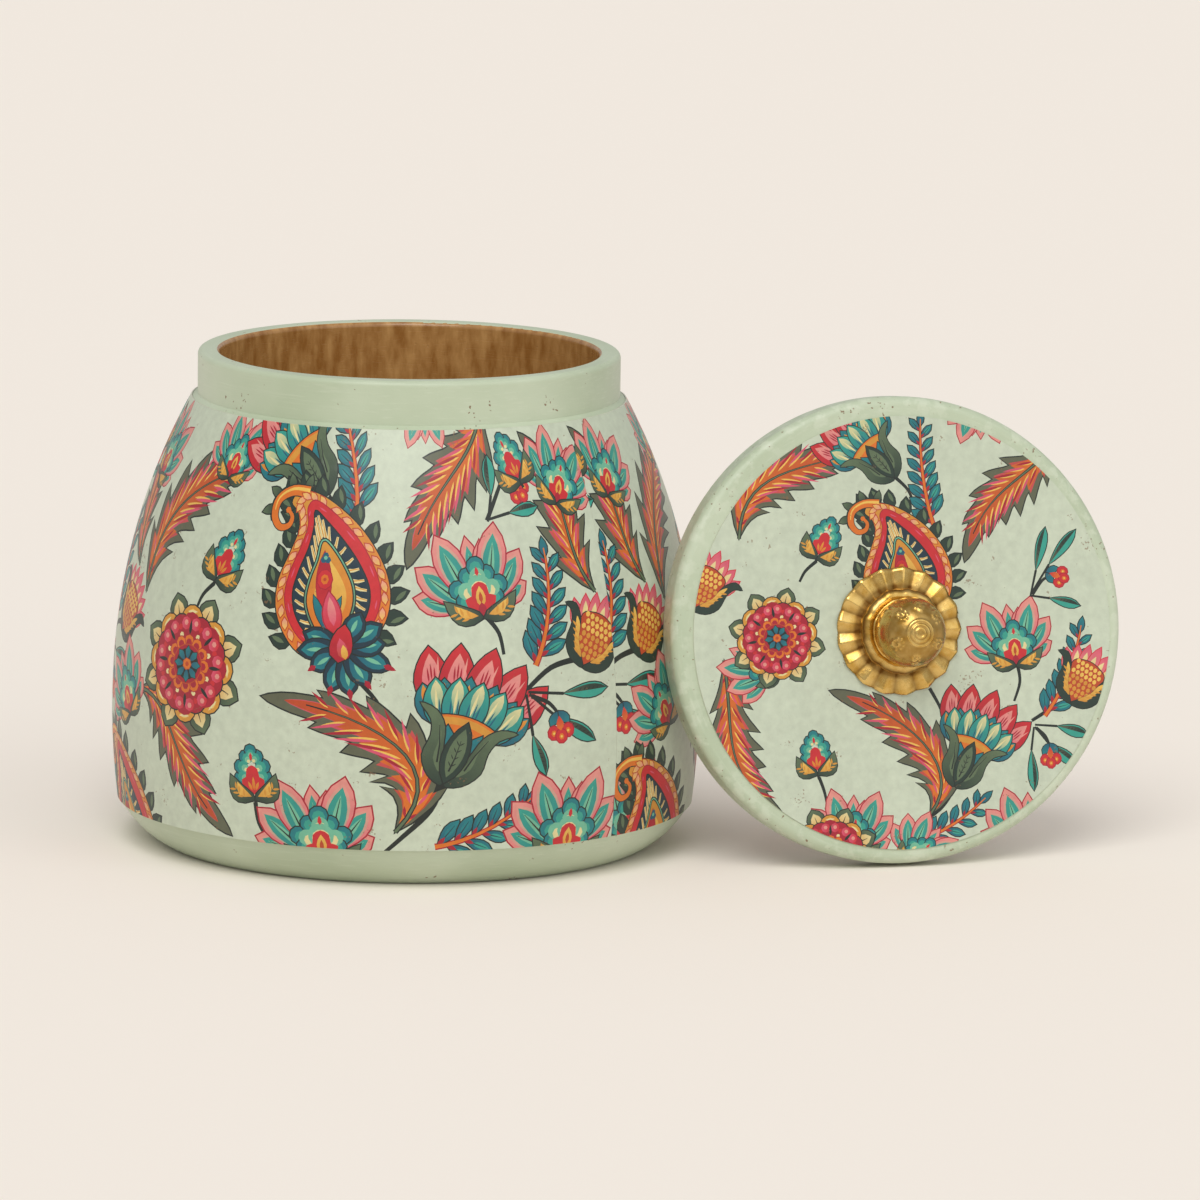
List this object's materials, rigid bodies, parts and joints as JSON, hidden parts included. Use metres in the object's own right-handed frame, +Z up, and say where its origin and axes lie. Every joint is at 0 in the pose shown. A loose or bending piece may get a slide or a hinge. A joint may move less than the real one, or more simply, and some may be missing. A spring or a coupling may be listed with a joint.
{
  "type": "lidded jar",
  "caption": "Round-bellied turned storage jar with a straight collar and open mouth, and a loose knobbed lid leaning on its side.",
  "frame": {"origin": "centre of the jar's foot, on the surface that it stands on", "axes": "+Z up along the jar's axis; the jar is seen from -Y, with the lid at +X"},
  "size_m": [0.1907, 0.1116, 0.0935],
  "materials": {
    "painted_wood": "pale mint green paint, satin, with small chips",
    "printed_paper": "varnished printed paper with flowers and leaves",
    "lacquered_wood": "golden brown clear lacquer",
    "seal_rubber": "translucent white, soft",
    "polished_brass": "polished, slightly worn",
    "screw_steel": "zinc plated"
  },
  "bodies": {
    "jar": {"jar_body": "painted_wood", "body_print": "printed_paper"},
    "lid": {"lid_disc": "painted_wood", "lid_plug": "lacquered_wood", "lid_seal": "seal_rubber", "lid_print": "printed_paper", "knob_rose": "polished_brass", "knob_cup": "polished_brass", "knob_ball": "polished_brass", "screw_washer": "screw_steel", "knob_screw": "screw_steel"}
  },
  "joints": [
    {"name": "lid_lift", "type": "slide", "parent": "jar", "child": "lid", "axis": [0, 0, 1], "range_m": [0, 0.12]}
  ]
}
